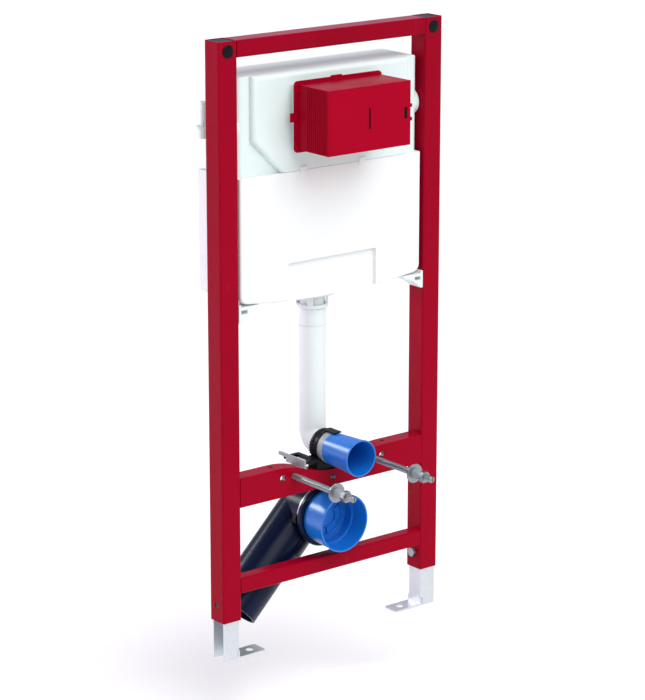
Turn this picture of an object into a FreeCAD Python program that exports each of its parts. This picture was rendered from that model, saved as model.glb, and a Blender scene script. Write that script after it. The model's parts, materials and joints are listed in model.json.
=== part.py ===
"""Wall hung toilet frame: a welded tube frame on two telescopic legs that carries
a concealed cistern, its flush bend, a swivelled waste bend and the bowl studs.

Millimetres, +Z up. The origin lies on the rear face of the top rail, on the centreline.
X runs to the right and Y from the front of the frame towards the wall.
"""
import FreeCAD
import Part
import math
import os

from FreeCAD import Vector

# Frame: posts and rails
frame_width = 500.0
frame_height = 1120.0
post_side = 40.0
post_wall = 2.0
post_corner = 3.0
leg_shown = 74.0
top_rail_height = 30.0
bottom_rail_height = 30.0
bottom_rail_depth = 25.0
bottom_rail_lift = 49.0
rail_wall = 2.0
rail_corner = 3.0

# Heights of the connections
waste_height = 220.0
stud_over_waste = 100.0
flush_over_waste = 135.0

# Stud rail, folded from sheet, with a scoop under the flush bend
stud_rail_above = 20.0
stud_rail_below = 35.0
stud_rail_depth = 32.0
stud_rail_sheet = 3.0
scoop_half = 126.0
scoop_depth = 24.0
flange_hole_x = 130.0
flange_hole_r = 4.0
flange_hole_back = 19.0

# Post caps, plugs and wall bolts
cap_height = 8.0
cap_recess = 0.8
cap_plate = 2.5
cap_clearance = 0.2
plug_drop = 17.5
plug_head_r = 11.5
plug_head_high = 3.0
plug_hole_r = 8.0
plug_stem = 6.0
plug_clearance = 0.2
wall_hole_r = 6.5

# Telescopic legs
leg_length = 300.0
leg_sheet = 3.0
leg_clearance = 0.6
leg_lip_gap = 1.0
leg_bend = 4.0
leg_relief = 2.0
leg_relief_height = 16.0
foot_reach = 56.0
foot_hole_reach = 32.0
foot_hole_r = 7.0
foot_corner = 4.0
leg_bolt_lift = 31.0
leg_bolt_r = 5.0
leg_bolt_head_flats = 16.0
leg_bolt_head_high = 7.0
leg_bolt_tip_gap = 0.3
bolt_clearance = 0.3

# Bowl studs with their washers, sleeves and nuts
stud_spacing = 180.0
spare_stud_spacing = 230.0
stud_r = 6.0
stud_reach = 171.0
stud_tail = 18.0
stud_chamfer = 1.2
stud_slot_width = 1.6
stud_slot_deep = 2.5
stud_clearance = 0.2
nut_plate_sheet = 8.0
nut_plate_above = 8.0
nut_plate_below = 12.0
nut_plate_end = 12.0
washer_r = 17.5
washer_sheet = 2.5
sleeve_r = 9.0
sleeve_length = 20.0
nut_flats = 19.0
nut_high = 10.0
nut_back = 18.0

# Cistern: upper tank and lower shell
shell_side_gap = 6.0
shell_front = 2.0
shell_depth = 123.0
shell_top_drop = 243.0
shell_side_drop = 465.0
shell_sag = 14.0
shell_corner = 16.0
shell_edge = 5.0
shell_wall = 9.0
recess_half = 100.0
recess_rise = 73.0
recess_deep = 8.0
recess_corner = 3.0
tank_top_drop = 67.0
tank_set_back = 11.0
tank_half_front = 176.0
tank_depth = 103.0
tank_cut_x = 113.0
tank_cut_rise = 62.0
tank_corner = 12.0
tank_edge = 9.0
tank_gap = 0.4
tank_seat = 0.5
boss_r = 24.0
boss_high = 4.0
boss_drop = 155.0
clip_half = 7.0
clip_x = 66.0
clip_rise = 7.0
clip_sheet = 1.2

# Cistern brackets on the posts
bracket_sheet = 5.0
bracket_height = 32.0
bracket_depth = 34.0
bracket_shelf = 46.0
bracket_rib = 12.0

# Water inlet fitting on the left
inlet_x_out = 17.0
inlet_back = 82.0
inlet_r = 7.5
inlet_nut_r = 11.0
inlet_branch_r = 6.0
inlet_low_drop = 179.0
inlet_high_drop = 115.0
inlet_ring_drop = 162.0
inlet_ring_r = 14.0
inlet_ring_high = 4.0

# Service box
service_half = 92.0
service_low_drop = 201.0
service_high_drop = 87.0
service_front = 100.0
service_wall = 3.0
service_cover_sheet = 4.0
service_flange_back = 11.0
service_flange_sheet = 3.0
service_flange_side = 6.0
service_flange_corner = 8.0
service_rib_count = 11
service_rib_pitch = 5.4
service_rib_wide = 2.4
service_rib_high = 1.2
service_tab = 8.0
service_neck_in = 1.5
cover_slot_low_drop = 163.0
cover_slot_high_drop = 126.0
cover_slot_wide = 4.5
cover_slot_deep = 2.5
cover_stud_x = 13.0
cover_stud_drop = 120.0
cover_stud_r = 3.0
cover_stud_high = 1.5
cover_catch_x = 81.0
cover_catch_drop = 143.5
cover_catch_high = 20.0
cover_catch_wide = 7.0
cover_lug_high = 6.0
cover_lug_out = 4.0
cover_lug_spread = 12.0

# Flush outlet, pipe, collar and cap
flush_back = 61.5
flush_r = 25.0
flush_wall = 2.0
flush_bend = 30.0
flush_mouth = 1.0
flush_top_drop = 31.0
flush_neck = 5.0
flush_groove_drop = 32.0
flush_groove_wide = 2.4
flush_groove_deep = 1.2
spigot_clearance = 0.4
spigot_wall = 2.2
spigot_reach = 26.0
outlet_flange_r = 45.0
outlet_flange_sheet = 5.0
outlet_cone = 5.0
outlet_ring_high = 6.0
outlet_ring_r = 29.0
outlet_arm_count = 4
outlet_arm_wide = 11.0
outlet_arm_sheet = 4.0
collar_r = 31.0
collar_front = 12.0
collar_back = 31.0
collar_groove = 2.0
collar_tab_half = 8.0
collar_tab_reach = 26.0
collar_tab_sheet = 2.5
seal_r = 29.5
seal_front = -3.0
flush_cap_reach = 80.0
flush_cap_r_back = 29.5
flush_cap_r_front = 34.0
flush_cap_wall = 1.8
pipe_fit = 0.3

# Rest of one piece on another
seat_gap = 0.2

# Saddle under the flush collar, with a cheek at each end
saddle_half = 34.0
saddle_front = 4.0
saddle_back = 31.0
saddle_top_drop = 15.0
wing_out = 68.0
wing_back = 60.0
wing_sheet = 6.0
wing_window = 9.0
cheek_sheet = 4.0
cheek_front = 7.0
cheek_back = 70.0
cheek_top_drop = 8.0
cheek_tail = 22.0
cheek_tail_high = 7.0

# Waste branch, pipe, collar, strap and cap
waste_back = 88.0
waste_turn = 45.0
elbow_r = 47.5
elbow_bore_r = 40.0
elbow_mouth = 24.0
elbow_leg = 86.0
pipe_r = 45.0
pipe_bore_r = 41.5
pipe_end = 230.0
waste_collar_r = 58.0
waste_collar_front = 23.0
waste_collar_back = 35.5
waste_collar_edge = 3.0
strap_front = 36.5
strap_wide = 9.0
strap_sheet = 2.0
strap_gap = 0.1
strap_sweep = 240.0
hanger_half = 16.0
hanger_sheet = 3.0
hanger_rise = 32.0
hanger_drop = 6.0
hanger_gap = 0.2
buckle_high = 16.0
buckle_out = 9.0
waste_cap_front = 33.0
waste_cap_r_back = 50.0
waste_cap_r_front = 54.0
waste_cap_wall = 2.0
waste_cap_step_deep = 20.0
waste_cap_step = 3.0
rail_screw_drop = 19.0
rail_screw_r = 3.0
rail_screw_head_r = 5.5
rail_screw_head_high = 3.0

# Places worked out from the sizes
RIGHT = Vector(1, 0, 0)
BACK = Vector(0, 1, 0)
UP = Vector(0, 0, 1)
ORIGIN = Vector(0, 0, 0)
OVER = 1.0

top_z = top_rail_height / 2
floor_z = top_z - frame_height
front_y = -post_side
middle_y = front_y / 2
outer_x = frame_width / 2
inner_x = outer_x - post_side
post_x = outer_x - post_side / 2
post_low_z = floor_z + leg_shown
waste_z = floor_z + waste_height
stud_z = waste_z + stud_over_waste
flush_z = waste_z + flush_over_waste
stud_rail_top_z = stud_z + stud_rail_above
stud_rail_low_z = stud_z - stud_rail_below
plug_z = top_z - plug_drop
leg_bolt_z = post_low_z + leg_bolt_lift
shell_half = inner_x - shell_side_gap
shell_top_z = top_z - shell_top_drop
shell_side_z = top_z - shell_side_drop
shell_low_z = shell_side_z - shell_sag
tank_top_z = top_z - tank_top_drop
outlet_low_z = shell_low_z - flush_top_drop
nut_seat = stud_reach - nut_back - nut_high
sleeve_seat = nut_seat - sleeve_length
washer_seat = sleeve_seat - washer_sheet
waste_fall = Vector(-math.sin(math.radians(waste_turn)), 0, -math.cos(math.radians(waste_turn)))
waste_knee = Vector(0, front_y + waste_back, waste_z)


def behind(depth):
    """Y of a place that lies this far behind the front of the posts."""
    return front_y + depth


def under_top(drop):
    """Z of a place that lies this far under the top of the frame."""
    return top_z - drop


def block(x, y, z):
    """Box between the low and high limits on each axis."""
    return Part.makeBox(x[1] - x[0], y[1] - y[0], z[1] - z[0], Vector(x[0], y[0], z[0]))


def edges_along(shape, axis):
    """Straight edges of a shape that run along an axis."""
    straight = [edge for edge in shape.Edges if isinstance(edge.Curve, Part.Line)]
    return [edge for edge in straight if abs(edge.Curve.Direction.dot(axis)) > 0.999]


def rounded_block(x, y, z, axis, radius):
    """Box with the edges along one axis rounded."""
    plain = block(x, y, z)
    return plain.makeFillet(radius, edges_along(plain, axis))


def shrunk(limits, wall):
    """Limits moved inwards by a wall."""
    return (limits[0] + wall, limits[1] - wall)


def tube(x, y, z, axis, corner, wall):
    """Rectangular hollow section that runs along one axis, open at both ends."""
    spans = []
    for limits, direction in ((x, RIGHT), (y, BACK), (z, UP)):
        runs_along = abs(direction.dot(axis)) > 0.5
        spans.append(shrunk(limits, -OVER if runs_along else wall))
    bore = rounded_block(*spans, axis, max(corner - wall, corner / 4))
    return rounded_block(x, y, z, axis, corner).cut(bore)


def rod(radius, start, direction, length):
    """Solid cylinder from a start point."""
    return Part.makeCylinder(radius, length, start, direction)


def outline(place, start, *steps):
    """Closed face. A step is a point, or a middle and an end point of an arc."""
    edges = []
    here = place(*start)
    for step in steps + (start,):
        if isinstance(step[0], tuple):
            there = place(*step[1])
            edges.append(Part.Arc(here, place(*step[0]), there).toShape())
        else:
            there = place(*step)
            if here.isEqual(there, 1e-7):
                continue
            edges.append(Part.makeLine(here, there))
        here = there
    return Part.Face(Part.Wire(edges))


def front_plane(y):
    """Maps across and up onto a plane that faces the front."""
    return lambda u, v: Vector(u, y, v)


def side_plane(x):
    """Maps back and up onto a plane that faces sideways."""
    return lambda u, v: Vector(x, u, v)


def turned(origin, axis, *profile):
    """Solid of revolution from a profile of radius and distance along the axis."""
    across = UP if abs(axis.dot(UP)) < 0.5 else RIGHT
    face = outline(lambda r, a: origin + across * r + axis * a, *profile)
    return face.revolve(origin, axis, 360)


def dome(radius, low, high):
    """Arc step of a turned profile, from a rim up to a crown on the axis."""
    rise = high - low
    sphere_r = (radius**2 + rise**2) / (2 * rise)
    half = math.asin(radius / sphere_r) / 2
    return ((sphere_r * math.sin(half), high - sphere_r * (1 - math.cos(half))), (0, high))


def hexagon(flats, height, origin, axis):
    """Six-sided prism, with its corners chamfered on the far face."""
    corner_r = flats / math.sqrt(3)
    across = UP if abs(axis.dot(UP)) < 0.5 else RIGHT
    side = axis.cross(across)
    corners = []
    for number in range(6):
        angle = math.radians(60 * number + 30)
        corners.append(origin + (across * math.cos(angle) + side * math.sin(angle)) * corner_r)
    prism = Part.Face(Part.makePolygon(corners + corners[:1])).extrude(axis * height)
    lost = corner_r - flats / 2
    cone = turned(
        origin,
        axis,
        (0, 0),
        (corner_r, 0),
        (corner_r, height - lost / 2),
        (corner_r - lost, height),
        (0, height),
    )
    return prism.common(cone)


def bent_rod(radius, start, heading, straight, turn_to, bend_r, leg):
    """Rod that runs straight, turns a right angle and ends in a straight leg."""
    knee = start + heading * straight
    pivot = knee + turn_to * bend_r
    section = Part.Face(Part.Wire(Part.makeCircle(radius, knee, heading)))
    elbow = section.revolve(pivot, heading.cross(turn_to), 90)
    solid = rod(radius, start, heading, straight).fuse(elbow)
    return solid.fuse(rod(radius, pivot + heading * bend_r, turn_to, leg)).removeSplitter()


def mirrored(shape):
    """The same piece on the other side of the centreline."""
    return shape.mirror(ORIGIN, RIGHT)


def scoop_at(x, inset=0.0):
    """Z of the stud rail's upper face at a place inside the scoop."""
    run = scoop_half / 2
    radius = (run**2 + (scoop_depth / 2) ** 2) / scoop_depth
    if abs(x) > run:
        drop = radius - math.sqrt(radius**2 - (scoop_half - abs(x)) ** 2)
        return stud_rail_top_z - drop - inset
    rise = radius - math.sqrt(radius**2 - x**2)
    return stud_rail_top_z - scoop_depth + rise - inset


def scoop_steps(inset):
    """Upper edge of the stud rail from right to left: two shoulders and the hollow."""
    run = scoop_half / 2
    radius = (run**2 + (scoop_depth / 2) ** 2) / scoop_depth
    turn = 2 * math.atan(scoop_depth / scoop_half)
    crest_r = radius - inset
    hollow_r = radius + inset
    crest_z = stud_rail_top_z - radius
    hollow_z = stud_rail_top_z - scoop_depth + radius

    def crest(side, angle):
        return (side * (scoop_half - crest_r * math.sin(angle)), crest_z + crest_r * math.cos(angle))

    return (
        crest(1, 0),
        (crest(1, turn / 2), crest(1, turn)),
        ((0, hollow_z - hollow_r), crest(-1, turn)),
        (crest(-1, turn / 2), crest(-1, 0)),
    )


def stud_rail_prism(inset, half, y):
    """Block with the stud rail's outline, moved inwards at its upper and lower edges."""
    low = stud_rail_low_z + inset
    top = stud_rail_top_z - inset
    corners = ((-half, low), (half, low), (half, top))
    face = outline(front_plane(y[0]), *corners, *scoop_steps(inset), (-half, top))
    return face.extrude(BACK * (y[1] - y[0]))


def make_post():
    """Right post: tube with the plug, wall bolt and leg bolt holes."""
    post = tube((inner_x, outer_x), (front_y, 0), (post_low_z, top_z), UP, post_corner, post_wall)
    through = post_wall + 2 * OVER
    post = post.cut(rod(plug_hole_r, Vector(post_x, front_y - OVER, plug_z), BACK, through))
    post = post.cut(rod(wall_hole_r, Vector(post_x, -post_wall - OVER, plug_z), BACK, through))
    across = Vector(inner_x - OVER, middle_y, leg_bolt_z)
    return post.cut(rod(leg_bolt_r + bolt_clearance, across, RIGHT, post_side + 2 * OVER))


def make_top_cap():
    """Plastic cap that sits inside the open top of the right post."""
    wall = post_wall + cap_clearance
    x = shrunk((inner_x, outer_x), wall)
    y = shrunk((front_y, 0), wall)
    high = top_z - cap_recess
    cap = rounded_block(x, y, (high - cap_height, high), UP, max(post_corner - post_wall, post_corner / 4))
    hollow = block(shrunk(x, cap_plate), shrunk(y, cap_plate), (high - cap_height - OVER, high - cap_plate))
    return cap.cut(hollow)


def make_hole_plug():
    """Domed plug pressed into the front of the right post."""
    stem_r = plug_hole_r - plug_clearance
    rim = plug_head_high / 4
    return turned(
        Vector(post_x, front_y, plug_z),
        -BACK,
        (0, -plug_stem),
        (stem_r, -plug_stem),
        (stem_r, 0),
        (plug_head_r, 0),
        (plug_head_r, rim),
        dome(plug_head_r, rim, plug_head_high),
    )


def make_stud_rail():
    """Folded stud rail: open at the back, with a scooped top and its stud and screw holes."""
    back = behind(stud_rail_depth)
    rail = stud_rail_prism(0.0, inner_x, (front_y, back))
    hollow = stud_rail_prism(stud_rail_sheet, inner_x + OVER, (behind(stud_rail_sheet), back + OVER))
    rail = rail.cut(hollow)
    through = stud_rail_sheet + 2 * OVER
    for spacing in (stud_spacing, spare_stud_spacing):
        for side in (-1, 1):
            place = Vector(side * spacing / 2, front_y - OVER, stud_z)
            rail = rail.cut(rod(stud_r + stud_clearance, place, BACK, through))
    for side in (-1, 1):
        place = Vector(side * flange_hole_x, behind(flange_hole_back), stud_rail_top_z + OVER)
        rail = rail.cut(rod(flange_hole_r, place, -UP, through))
    place = Vector(0, front_y - OVER, stud_z - rail_screw_drop)
    return rail.cut(rod(rail_screw_r + bolt_clearance, place, BACK, through))


def make_nut_plate():
    """Threaded backing plate behind the right end of the stud rail."""
    x = (stud_spacing / 2 - nut_plate_end, spare_stud_spacing / 2 + nut_plate_end)
    y = (behind(stud_rail_sheet), behind(stud_rail_sheet + nut_plate_sheet))
    plate = block(x, y, (stud_z - nut_plate_below, stud_z + nut_plate_above))
    for spacing in (stud_spacing, spare_stud_spacing):
        start = Vector(spacing / 2, y[0] - OVER, stud_z)
        plate = plate.cut(rod(stud_r + stud_clearance, start, BACK, nut_plate_sheet + 2 * OVER))
    return plate


def make_leg():
    """Right leg: open channel that slides in the post, with its web folded out as a foot."""
    x = (inner_x + post_wall + leg_clearance, outer_x - post_wall - leg_lip_gap)
    y = shrunk((front_y, 0), post_wall + leg_clearance)
    z = (floor_z, floor_z + leg_length)
    channel = block(x, y, z)
    corners = [edge for edge in edges_along(channel, UP) if edge.CenterOfMass.x < post_x]
    channel = channel.makeFillet(leg_bend, corners)
    hollow = block((x[0] + leg_sheet, x[1] + OVER), shrunk(y, leg_sheet), shrunk(z, -OVER))
    relief_z = floor_z + leg_relief_height
    relief_x = (x[0] - OVER, x[0] + leg_bend + leg_relief)
    relief = block(relief_x, shrunk(y, -OVER), (floor_z - OVER, relief_z))
    channel = channel.cut(hollow).cut(relief)
    bend_x = x[0] - leg_bend / 2
    bend_z = floor_z + leg_sheet + leg_bend / 2
    foot_x = inner_x - foot_reach
    slant = math.sqrt(0.5)
    wide_r = leg_sheet + leg_bend / 2
    tight_r = leg_bend / 2
    foot = outline(
        front_plane(y[0]),
        (foot_x, floor_z),
        (bend_x, floor_z),
        ((bend_x + wide_r * slant, bend_z - wide_r * slant), (x[0] + leg_sheet, bend_z)),
        (x[0] + leg_sheet, relief_z),
        (x[0], relief_z),
        (x[0], bend_z),
        ((bend_x + tight_r * slant, bend_z - tight_r * slant), (bend_x, floor_z + leg_sheet)),
        (foot_x, floor_z + leg_sheet),
    ).extrude(BACK * (y[1] - y[0]))
    tips = [edge for edge in edges_along(foot, UP) if edge.CenterOfMass.x < foot_x + OVER]
    foot = foot.makeFillet(foot_corner, tips)
    hole = Vector(inner_x - foot_hole_reach, middle_y, floor_z - OVER)
    foot = foot.cut(rod(foot_hole_r, hole, UP, leg_sheet + 2 * OVER))
    return channel.fuse(foot).removeSplitter()


def make_leg_bolt():
    """Clamp bolt in the inner face of the right post, with its tip against the leg."""
    place = Vector(inner_x, middle_y, leg_bolt_z)
    tip = post_wall + leg_clearance - leg_bolt_tip_gap
    head = hexagon(leg_bolt_head_flats, leg_bolt_head_high, place, -RIGHT)
    return head.fuse(rod(leg_bolt_r, place, RIGHT, tip)).removeSplitter()


def make_stud():
    """Right bowl stud, with a chamfered and slotted front end."""
    length = stud_reach + stud_tail
    stud = turned(
        Vector(stud_spacing / 2, behind(stud_tail), stud_z),
        -BACK,
        (0, 0),
        (stud_r, 0),
        (stud_r, length - stud_chamfer),
        (stud_r - stud_chamfer, length),
        (0, length),
    )
    x = (stud_spacing / 2 - stud_slot_width / 2, stud_spacing / 2 + stud_slot_width / 2)
    y = (behind(-stud_reach) - OVER, behind(-stud_reach) + stud_slot_deep)
    return stud.cut(block(x, y, (stud_z - 2 * stud_r, stud_z + 2 * stud_r)))


def stud_ring(outer_r, back, length):
    """Plain ring on the right stud, from a place in front of the frame."""
    inner_r = stud_r + stud_clearance
    place = Vector(stud_spacing / 2, behind(-back), stud_z)
    return turned(place, -BACK, (inner_r, 0), (outer_r, 0), (outer_r, length), (inner_r, length))


def make_nut():
    """Hexagon nut on the right stud."""
    place = Vector(stud_spacing / 2, behind(-nut_seat), stud_z)
    bore = rod(stud_r + stud_clearance, place + BACK * OVER, -BACK, nut_high + 2 * OVER)
    return hexagon(nut_flats, nut_high, place, -BACK).cut(bore)


def shell_underside(x):
    """Z of the shell's curved underside."""
    radius = (shell_half**2 + shell_sag**2) / (2 * shell_sag)
    return shell_low_z + radius - math.sqrt(radius**2 - x**2)


def make_shell():
    """Lower cistern shell: open on top, with a curved underside and a recessed panel."""
    front = behind(shell_front)
    body = outline(
        front_plane(front),
        (-shell_half, shell_side_z),
        ((0, shell_low_z), (shell_half, shell_side_z)),
        (shell_half, shell_top_z),
        (-shell_half, shell_top_z),
    ).extrude(BACK * shell_depth)
    low_edges = [edge for edge in edges_along(body, BACK) if edge.CenterOfMass.z < shell_side_z + OVER]
    body = body.makeFillet(shell_corner, low_edges)
    rim = [edge for edge in body.Edges if edge.BoundBox.YMax < front + 1e-3]
    rim = [edge for edge in rim if edge.CenterOfMass.z < shell_top_z - OVER]
    body = body.makeFillet(shell_edge, rim)
    wall = shell_wall
    cavity = block(
        (wall - shell_half, shell_half - wall),
        (front + wall, front + shell_depth - wall),
        (shell_side_z + wall, shell_top_z + OVER),
    )
    recess_top = shell_low_z + recess_rise
    recess_y = (front - OVER, front + recess_deep)
    recess = block((-recess_half, recess_half), recess_y, (shell_low_z - OVER, recess_top))
    upper = [edge for edge in edges_along(recess, BACK) if edge.CenterOfMass.z > recess_top - OVER]
    recess = recess.makeFillet(recess_corner, upper)
    under = Vector(0, behind(flush_back), shell_low_z - OVER)
    bore = rod(flush_r + spigot_clearance, under, UP, 2 * wall + shell_sag)
    return body.cut(cavity).cut(recess).cut(bore)


def make_tank():
    """Upper cistern tank: set-back body, raised front face with a cut corner, bosses and neck."""
    back = behind(tank_depth)
    face_y = behind(shell_front)
    body_y = face_y + tank_set_back
    body = block((-shell_half, shell_half), (body_y, back), (shell_top_z, tank_top_z))
    rounded = [edge for edge in edges_along(body, UP) if edge.CenterOfMass.y < body_y + OVER]
    rounded += [edge for edge in edges_along(body, BACK) if edge.CenterOfMass.z > tank_top_z - OVER]
    body = body.makeFillet(tank_corner, rounded)
    low = shell_top_z + tank_seat
    face = outline(
        front_plane(face_y),
        (-tank_cut_x, low),
        (tank_half_front, low),
        (tank_half_front, tank_top_z),
        (-tank_half_front, tank_top_z),
        (-tank_half_front, low + tank_cut_rise),
    ).extrude(BACK * (tank_set_back + tank_corner))
    crown = [edge for edge in face.Edges if edge.BoundBox.YMax < face_y + 1e-3]
    crown = [edge for edge in crown if edge.CenterOfMass.z > low + OVER]
    face = face.makeFillet(tank_edge, crown)
    wall = shell_wall + tank_gap
    lower = block(
        (wall - shell_half, shell_half - wall),
        (face_y + wall, face_y + shell_depth - wall),
        (shell_side_z + wall, shell_top_z + OVER),
    )
    tank = body.fuse(face).fuse(lower)
    for side in (-1, 1):
        start = Vector(side * (shell_half - tank_corner), body_y + boss_r, under_top(boss_drop))
        tank = tank.fuse(rod(boss_r, start, RIGHT * side, tank_corner + boss_high))
    neck_x = service_half - service_neck_in
    neck_z = shrunk((under_top(service_low_drop), under_top(service_high_drop)), service_neck_in)
    neck = block((-neck_x, neck_x), (behind(-service_flange_back), body_y), neck_z)
    return tank.fuse(neck).removeSplitter()


def make_shell_clip():
    """Snap clip over the joint between the shell and the tank, on the right."""
    y = (behind(shell_front - clip_sheet), behind(shell_front))
    z = (shell_top_z - clip_rise, shell_top_z + clip_rise)
    return rounded_block((clip_x - clip_half, clip_x + clip_half), y, z, BACK, clip_sheet)


def make_cistern_bracket():
    """Bracket on the right post whose shelf carries the shell's lower corner."""
    shelf_x = inner_x - bracket_shelf
    shelf_z = min(shell_underside(shelf_x), shell_side_z) - seat_gap
    y = (behind(0), behind(bracket_depth))
    low_z = shelf_z - bracket_height + bracket_sheet
    side = outline(
        front_plane(y[0]),
        (shelf_x, shelf_z - bracket_sheet),
        (inner_x - 2 * bracket_rib, shelf_z - bracket_rib),
        (inner_x - bracket_sheet, low_z),
        (inner_x, low_z),
        (inner_x, shelf_z + bracket_sheet),
        (inner_x - shell_side_gap + OVER, shelf_z + bracket_sheet),
        (inner_x - shell_side_gap + OVER, shelf_z),
        (shelf_x, shelf_z),
    ).extrude(BACK * (y[1] - y[0]))
    pocket = block(
        (inner_x - 2 * bracket_rib + bracket_sheet, inner_x - bracket_sheet),
        (y[0] - OVER, y[0] + bracket_rib),
        (shelf_z - bracket_rib, shelf_z - bracket_sheet),
    )
    return side.cut(pocket)


def make_inlet_fitting():
    """Upright inlet stub with its ring, on a short branch out of the tank's left side."""
    x = -shell_half - inlet_x_out
    upright = turned(
        Vector(x, behind(inlet_back), under_top(inlet_low_drop)),
        UP,
        (0, 0),
        (inlet_nut_r, 0),
        (inlet_nut_r, inlet_low_drop - inlet_ring_drop),
        (inlet_r, inlet_low_drop - inlet_ring_drop),
        (inlet_r, inlet_low_drop - inlet_high_drop),
        (0, inlet_low_drop - inlet_high_drop),
    )
    ring = rod(inlet_ring_r, Vector(x, behind(inlet_back), under_top(inlet_ring_drop)), UP, inlet_ring_high)
    branch_z = under_top(inlet_ring_drop) + inlet_ring_high + inlet_r
    branch = rod(inlet_branch_r, Vector(x, behind(inlet_back), branch_z), RIGHT, inlet_x_out)
    return upright.fuse(ring).fuse(branch).removeSplitter()


def make_service_box():
    """Ribbed service shaft with its flange against the tank's neck; open at front and back."""
    side = service_half - service_rib_high
    y = (behind(-service_front) + service_cover_sheet, behind(-service_flange_back))
    z = (under_top(service_low_drop), under_top(service_high_drop))
    box = block((-side, side), y, z)
    flange_x = service_half + service_flange_side
    flange = rounded_block(
        (-flange_x, flange_x),
        (y[1] - service_flange_sheet, y[1]),
        shrunk(z, -service_flange_side),
        BACK,
        service_flange_corner,
    )
    box = box.fuse(flange)
    middle_z = (z[0] + z[1]) / 2
    tab = block(
        (-flange_x - service_tab, -flange_x + OVER),
        (y[1] - service_flange_sheet, y[1]),
        (middle_z - service_tab, middle_z + service_tab),
    )
    crest = z[1] + service_flange_side
    top_tab = block(
        (-2 * service_tab, service_tab),
        (y[1] - service_flange_sheet, y[1]),
        (crest - OVER, crest + service_rib_wide),
    )
    box = box.fuse(tab).fuse(top_tab)
    for number in range(service_rib_count):
        start = y[0] + number * service_rib_pitch
        for end in (-1, 1):
            x = sorted((end * (side - OVER), end * service_half))
            box = box.fuse(block(x, (start, start + service_rib_wide), z))
    shaft = block(
        shrunk((-side, side), service_wall),
        shrunk(y, -OVER),
        shrunk(z, service_wall),
    )
    return box.cut(shaft).removeSplitter()


def make_service_cover():
    """Front plate of the service box: finger slot, stud, catch window and side lugs."""
    front = behind(-service_front)
    z = (under_top(service_low_drop), under_top(service_high_drop))
    y = (front, front + service_cover_sheet)
    cover = block((-service_half, service_half), y, z)
    slot_z = (under_top(cover_slot_low_drop), under_top(cover_slot_high_drop))
    slot_y = (front - OVER, front + cover_slot_deep)
    slot = block((-cover_slot_wide / 2, cover_slot_wide / 2), slot_y, slot_z)
    catch_z = under_top(cover_catch_drop)
    catch = block(
        (cover_catch_x - cover_catch_wide / 2, cover_catch_x + cover_catch_wide / 2),
        slot_y,
        (catch_z - cover_catch_high / 2, catch_z + cover_catch_high / 2),
    )
    cover = cover.cut(slot).cut(catch)
    stud = turned(
        Vector(-cover_stud_x, front, under_top(cover_stud_drop)),
        -BACK,
        (0, -cover_stud_high),
        (cover_stud_r, -cover_stud_high),
        (cover_stud_r, 0),
        dome(cover_stud_r, 0, cover_stud_high),
    )
    cover = cover.fuse(stud)
    for end in (-1, 1):
        lug_z = catch_z + end * cover_lug_spread
        lug = block(
            (service_half - OVER, service_half + cover_lug_out),
            y,
            (lug_z - cover_lug_high / 2, lug_z + cover_lug_high / 2),
        )
        cover = cover.fuse(lug)
    return cover.removeSplitter()


def make_outlet_nut():
    """Outlet under the shell: flange, caged union ring on four arms, and the inner spigot."""
    place = Vector(0, behind(flush_back), shell_low_z)
    spigot_r = flush_r - flush_wall - spigot_clearance
    bore_r = spigot_r - spigot_wall
    cone_z = outlet_flange_sheet + outlet_cone
    flange = turned(
        place,
        -UP,
        (bore_r, 0),
        (outlet_flange_r, 0),
        (outlet_flange_r, outlet_flange_sheet),
        (outlet_ring_r, cone_z),
        (spigot_r, cone_z),
        (spigot_r, flush_top_drop + spigot_reach),
        (bore_r, flush_top_drop + spigot_reach),
    )
    ring_in = spigot_r + spigot_clearance
    ring_top = flush_top_drop - outlet_ring_high
    ring = turned(
        place,
        -UP,
        (ring_in, ring_top),
        (outlet_ring_r, ring_top),
        (outlet_ring_r, flush_top_drop),
        (ring_in, flush_top_drop),
    )
    nut = flange.fuse(ring)
    for number in range(outlet_arm_count):
        arm = block(
            (outlet_ring_r - outlet_arm_sheet, outlet_ring_r),
            (behind(flush_back) - outlet_arm_wide / 2, behind(flush_back) + outlet_arm_wide / 2),
            (shell_low_z - flush_top_drop, shell_low_z - outlet_flange_sheet),
        )
        arm.rotate(place, UP, 45 + 360 * number / outlet_arm_count)
        nut = nut.fuse(arm)
    return nut.removeSplitter()


def make_flush_pipe():
    """Flush pipe: necked top, groove, right-angle bend and a short leg to the front."""
    top = Vector(0, behind(flush_back), outlet_low_z)
    straight = outlet_low_z - flush_z - flush_bend
    leg = flush_back - flush_bend - flush_mouth
    outer = bent_rod(flush_r, top - UP * flush_neck, -UP, straight - flush_neck, -BACK, flush_bend, leg)
    neck_r = flush_r - flush_wall + spigot_clearance
    slant = math.sqrt(0.5)
    round_r = flush_r - neck_r
    neck = turned(
        top,
        -UP,
        (0, 0),
        (neck_r, 0),
        ((neck_r + round_r * slant, flush_neck * (1 - slant)), (flush_r, flush_neck)),
        (0, flush_neck),
    )
    bore_r = flush_r - flush_wall
    bore = bent_rod(bore_r, top + UP * OVER, -UP, straight + OVER, -BACK, flush_bend, leg + OVER)
    groove = turned(
        top,
        -UP,
        (flush_r - flush_groove_deep, flush_groove_drop),
        (flush_r + OVER, flush_groove_drop),
        (flush_r + OVER, flush_groove_drop + flush_groove_wide),
        (flush_r - flush_groove_deep, flush_groove_drop + flush_groove_wide),
    )
    return outer.fuse(neck).cut(bore).cut(groove).removeSplitter()


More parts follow.
